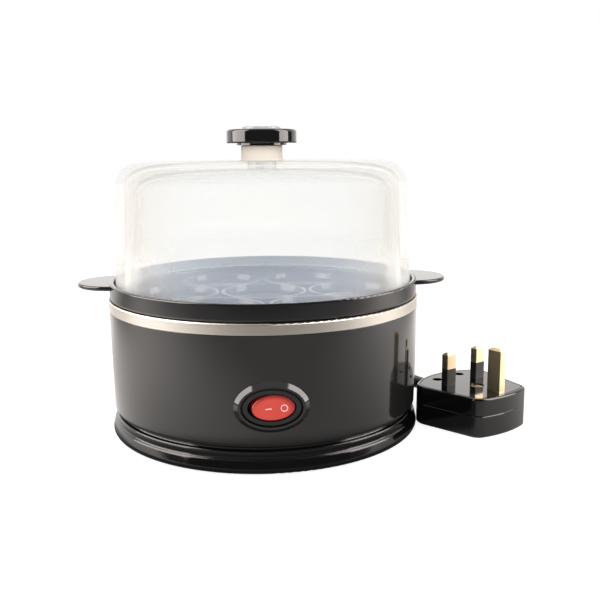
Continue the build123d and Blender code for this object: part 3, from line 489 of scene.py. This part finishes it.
wire_gloss = (0.30, 0.42)
wire_grain = 2500.0
wire_brown = plastic(
    "wire_brown", (0.095, 0.042, 0.018), (0.15, 0.07, 0.03), wire_gloss, grain_scale=wire_grain
)
dress(wire_brown, "supply_live_wire", "switched_live_wire", "fuse_supply_wire", "fuse_element_wire")
wire_blue = plastic(
    "wire_blue", (0.03, 0.10, 0.40), (0.05, 0.15, 0.52), wire_gloss, grain_scale=wire_grain
)
dress(wire_blue, "neutral_wire")
stripe_scale, stripe_waver = 55.0, 0.4
stripe_start, stripe_full = 0.66, 0.70
stripe_yellow = (0.80, 0.62, 0.04)
wire_earth = plastic(
    "wire_earth", (0.09, 0.33, 0.03), (0.13, 0.42, 0.05), wire_gloss, grain_scale=wire_grain
)
tree = wire_earth.node_tree
stripe = shader_node(
    tree,
    "TexWave",
    Vector=shader_node(tree, "TexCoord").outputs["Object"],
    Scale=stripe_scale,
    Distortion=stripe_waver,
    Detail=0.0,
)
tint(tree, ramp(tree, stripe.outputs["Fac"], stripe_start, stripe_full, "LINEAR"), stripe_yellow)
dress(wire_earth, "earth_wire")
clamp_nylon = plastic(
    "clamp_nylon", (0.60, 0.58, 0.52), (0.70, 0.69, 0.64), (0.40, 0.55), grain_scale=1200.0
)
dress(clamp_nylon, "cord_clamp")
dress(zinc, "clamp_screws")

# Egg tray. A polished black moulding with seven raised seats, a rim that stands on the steel band and
# two ears to lift it by.
tray_black = plastic(
    "tray_black",
    (0.0045, 0.0045, 0.0048),
    (0.008, 0.008, 0.0082),
    (0.09, 0.17),
    grain_depth=0.00001,
    patch_scale=22.0,
)
dress(tray_black, "egg_tray")

# Lid. A bell moulded in clear plastic with a milky haze, which stands inside the tray's rim; the haze
# thickens towards the foot, along a wall seen edge-on and in the stem, and the outermost edge is clear.
# Start and full say how far a wall turns away from the viewer, and low, high and foot are heights.
haze_facing, haze_edge, haze_foot, haze_most = 0.145, 0.345, 0.07, 0.275
haze_side, haze_rim = 0.45, 0.25
edge_start, edge_full = 0.1, 0.6
side_start, side_full = 0.50, 0.66
rim_start, rim_full = 0.60, 0.70
rim_low, rim_high = 0.076, 0.094
foot_low, foot_high = 0.088, 0.100
stem_foot, stem_haze = 0.1368, 0.0012
edge_milk = (0.80, 0.785, 0.77)
foot_milk = (0.97, 0.96, 0.945)
stem_cream = (0.73, 0.665, 0.585)
clear_wall = (1.0, 0.988, 0.960)
clear_rim = (1.0, 1.0, 0.992)
lid_milk = plastic(
    "lid_milk",
    (0.73, 0.82, 0.96),
    (0.78, 0.87, 0.99),
    (0.20, 0.30),
    grain_scale=400.0,
    grain_depth=0.000008,
    patch_scale=14.0,
    IOR=1.06,
)
tree = lid_milk.node_tree
facing = shader_node(tree, "LayerWeight", Blend=0.5).outputs["Facing"]
height = axes(tree, shader_node(tree, "TexCoord").outputs["Object"])[2]
stem = ramp(tree, height, stem_foot, stem_foot + stem_haze, "LINEAR")
foot = ramp(tree, height, foot_high, foot_low)
rim = arithmetic(
    tree, "MULTIPLY", ramp(tree, facing, rim_start, rim_full), ramp(tree, height, rim_low, rim_high)
)
edge_on = ramp(tree, facing, edge_start, edge_full, "LINEAR")
tint(tree, edge_on, blend_colors(tree, foot, edge_milk, foot_milk))
tint(tree, stem, stem_cream)
wall = arithmetic(tree, "MULTIPLY_ADD", foot, haze_foot, spread(tree, facing, haze_facing, haze_edge))
wall = arithmetic(tree, "MINIMUM", wall, haze_most)
wall = arithmetic(tree, "MULTIPLY_ADD", ramp(tree, facing, side_start, side_full), haze_side, wall)
wall = arithmetic(tree, "MULTIPLY", wall, spread(tree, rim, 1.0, haze_rim))
haze = arithmetic(tree, "MAXIMUM", wall, stem)
clear = shader_node(tree, "BsdfTransparent", Color=blend_colors(tree, rim, clear_wall, clear_rim))
lid_surface = tree.nodes["Principled BSDF"]
lid_mix = mix_shaders(tree, haze, clear.outputs["BSDF"], lid_surface.outputs["BSDF"])
tree.links.new(lid_mix, tree.nodes["Material Output"].inputs["Surface"])
dress(lid_milk, "lid")

# Knob. A polished black disc on the lid's stem with a pale button pressed into its top; a screw and
# washer inside the stem hold it from below.
knob_black = plastic(
    "knob_black",
    (0.004, 0.004, 0.0045),
    (0.007, 0.007, 0.0075),
    (0.05, 0.10),
    grain_scale=700.0,
    grain_depth=0.000006,
    patch_scale=40.0,
)
dress(knob_black, "knob")
cap_pale = plastic("cap_pale", (0.40, 0.40, 0.40), (0.48, 0.48, 0.48), (0.22, 0.34))
dress(cap_pale, "knob_cap")
dress(zinc, "knob_washer", "knob_screw")

# Switch. A satin black bezel and can in one moulding, a red rocker with a saddle-shaped face on a
# steel pin, and a neon lamp behind it; the rocker is tipped to its off side, and painted shade darkens
# its red round its edge.
switch_black = plastic(
    "switch_black", (0.006, 0.006, 0.0065), (0.011, 0.011, 0.012), (0.30, 0.42), grain_scale=1400.0
)
dress(switch_black, "switch_housing")
tip = next(joint for joint in frame["joints"] if joint["name"] == "rocker_tip")
pivot = Vector(tip["pos_m"])
half_rocker, half_face = 0.0097, 0.0058
face_drop = 0.0008
shade_start, shade_full = 0.50, 1.15
painted_edge_shade = (0.20, 0.010, 0.008)
rocker_red = plastic(
    "rocker_red",
    (0.47, 0.034, 0.024),
    (0.57, 0.060, 0.040),
    (0.16, 0.26),
    grain_scale=1000.0,
    grain_depth=0.00001,
    patch_scale=90.0,
    Coat_Weight=0.4,
    Coat_Roughness=0.1,
)
tree = rocker_red.node_tree
x, _, z = axes(tree, shader_node(tree, "TexCoord").outputs["Object"])
sideways = arithmetic(tree, "DIVIDE", x, half_rocker)
upward = arithmetic(tree, "DIVIDE", arithmetic(tree, "SUBTRACT", z, pivot.z - face_drop), half_face)
squares = arithmetic(tree, "MULTIPLY_ADD", sideways, sideways, arithmetic(tree, "MULTIPLY", upward, upward))
# Painted shade: the rocker's red turns dark towards the edge of its face, in an oval round the face's
# middle.
tint(tree, ramp(tree, squares, shade_start, shade_full), painted_edge_shade)
dress(rocker_red, "switch_rocker")
dress(zinc, "rocker_pivot")
dress(brass, "switch_terminals")
lamp_glass = plastic(
    "lamp_glass",
    (0.92, 0.70, 0.55),
    (0.97, 0.80, 0.66),
    (0.04, 0.08),
    grain_scale=600.0,
    Transmission_Weight=0.9,
    IOR=1.45,
)
dress(lamp_glass, "pilot_lamp")

# Switch marks. A bar for on and a ring for off, in white ink on the rocker's face: each is a thin
# strip that follows the hollow of the face and stands a hair proud of it.
off_tilt = math.radians(tip["range_deg"][1]) / 2
saddle_radius = 0.060
face_reach = 0.0062
print_proud = 0.00005
print_sunk = 0.00004
mark_offset = 0.0035
mark_shift = 0.00125
mark_rise = -0.0003
bar_length = 0.0027
bar_width = 0.00044
ring_radius = 0.00143
ring_width = 0.00036
bar_steps = 16
ring_steps = 48
sagitta = saddle_radius - math.sqrt(saddle_radius**2 - half_rocker**2)
to_rocker = Matrix.Translation(pivot) @ Matrix.Rotation(off_tilt, 4, "Z")
mark_white = plastic(
    "mark_white",
    (0.70, 0.50, 0.47),
    (0.82, 0.62, 0.58),
    (0.35, 0.50),
    grain_scale=2000.0,
    grain_depth=0.00001,
    patch_scale=300.0,
)


def on_saddle(x, z, lift):
    """Point at a height above the rocker's hollow face, in the model's frame."""
    face = -face_reach + sagitta - (saddle_radius - math.sqrt(saddle_radius**2 - x**2))
    return to_rocker @ Vector((x, face - lift, z))


def printed_strip(name, pairs, closed):
    """Thin solid between two edge lines laid on the rocker's face."""
    mesh = bmesh.new()
    rows = []
    for pair in pairs:
        corners = [(point, lift) for point in pair for lift in (print_proud, -print_sunk)]
        rows.append([mesh.verts.new(on_saddle(*point, lift)) for point, lift in corners])
    following = rows[1:] + rows[:1] if closed else rows[1:]
    for (a, b, c, d), (e, f, g, h) in zip(rows, following):
        for face in ((a, c, g, e), (b, f, h, d), (a, e, f, b), (c, d, h, g)):
            mesh.faces.new(face)
    if not closed:
        for a, b, c, d in (rows[0], rows[-1]):
            mesh.faces.new((a, b, d, c))
    bmesh.ops.recalc_face_normals(mesh, faces=mesh.faces)
    data = bpy.data.meshes.new(name)
    mesh.to_mesh(data)
    mesh.free()
    data.materials.append(mark_white)
    piece = add_object(name, data)
    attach(piece, "rocker")


bar_middle = mark_shift - mark_offset
bar_line = [bar_middle + bar_length * (step / bar_steps - 0.5) for step in range(bar_steps + 1)]
bar_low, bar_high = mark_rise - bar_width / 2, mark_rise + bar_width / 2
printed_strip("mark_on", [((x, bar_low), (x, bar_high)) for x in bar_line], closed=False)
ring_middle = mark_shift + mark_offset
ring_edges = (ring_radius - ring_width / 2, ring_radius + ring_width / 2)
ring_line = [2 * math.pi * step / ring_steps for step in range(ring_steps)]
ring_pairs = [
    [(ring_middle + radius * math.cos(turn), mark_rise + radius * math.sin(turn)) for radius in ring_edges]
    for turn in ring_line
]
printed_strip("mark_off", ring_pairs, closed=True)

# Lead. A round 7 mm black lead, from the strain relief at the back through a tied coil behind the
# cooker to the plug on its right; the coil goes in on top, drops a layer and comes out underneath.
cord_diameter = 0.007
lead_points = [
    (0.0, 0.101398, 0.0195),
    (0.0, 0.117898, 0.0195),
    (0.0, 0.1345, 0.0125),
    (0.0, 0.151, 0.0125),
]
tail_points = [
    (0.086, 0.151, 0.0049),
    (0.086, 0.127, 0.0049),
    (0.0872, 0.100, 0.0036),
    (0.0855, 0.073, 0.0046),
    (0.0815, 0.048, 0.0100),
    (0.0826592, 0.0242938, 0.0117),
    (0.0967805, 0.0018698, 0.0117),
]
coil_x, coil_y = 0.043, 0.158
coil_outer, coil_pitch = 0.043, 0.009
coil_high, coil_low = 0.0125, 0.0049
steps_per_turn = 24
turns_in, turns_down, turns_out = 1.0, 0.5, 1.0


def coil_point(turn):
    """Place on the coil after so many turns, clockwise seen from above."""
    inward = min(turn, turns_in)
    outward = max(turn - turns_in - turns_down, 0.0)
    radius = coil_outer - coil_pitch * (inward - outward)
    drop = min(max((turn - turns_in) / turns_down, 0.0), 1.0)
    height = coil_high + (coil_low - coil_high) * drop * drop * (3 - 2 * drop)
    angle = math.pi - 2 * math.pi * turn
    return coil_x + radius * math.cos(angle), coil_y + radius * math.sin(angle), height


coil_steps = round((turns_in + turns_down + turns_out) * steps_per_turn)
coil_points = [coil_point(step / steps_per_turn) for step in range(coil_steps + 1)]
cord_points = lead_points + coil_points + tail_points
cord_curve = bpy.data.curves.new("cord", "CURVE")
cord_curve.dimensions = "3D"
cord_curve.bevel_depth = cord_diameter / 2
cord_curve.bevel_resolution = 8
cord_curve.resolution_u = 8
cord_curve.use_fill_caps = True
cord_line = cord_curve.splines.new("NURBS")
cord_line.points.add(len(cord_points) - 1)
for control, point in zip(cord_line.points, cord_points):
    control.co = (*point, 1.0)
cord_line.order_u = 3
cord_line.use_endpoint_u = True
cord_sheath = plastic(
    "cord_sheath",
    (0.007, 0.007, 0.0075),
    (0.014, 0.014, 0.015),
    (0.34, 0.50),
    grain_scale=1300.0,
    grain_depth=0.00003,
    patch_scale=60.0,
)
cord_curve.materials.append(cord_sheath)
cord = add_object("cord", cord_curve)
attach(cord, "base")
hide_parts("cord_lead", "cord_coil", "cord_tail")
dress(cord_sheath, "strain_relief", "inner_lead")
tie_black = plastic(
    "tie_black", (0.010, 0.010, 0.010), (0.018, 0.018, 0.018), (0.40, 0.55), grain_scale=1600.0
)
dress(tie_black, "cord_tie")

# Plug. Two glossy black mouldings held by a brass screw, with three brass pins; the two line pins are
# sleeved in black next to the plug's face.
plug_black = plastic(
    "plug_black",
    (0.0015, 0.0015, 0.0018),
    (0.003, 0.003, 0.0034),
    (0.06, 0.12),
    grain_scale=1000.0,
    grain_depth=0.00001,
    patch_scale=50.0,
)
dress(plug_black, "plug_base", "plug_cover")
dress(brass, "plug_earth_pin", "plug_live_pin", "plug_neutral_pin", "plug_cover_screw")
sleeve_black = plastic(
    "sleeve_black", (0.006, 0.006, 0.006), (0.011, 0.011, 0.011), (0.32, 0.45), grain_scale=1500.0
)
dress(sleeve_black, "plug_pin_sleeves")
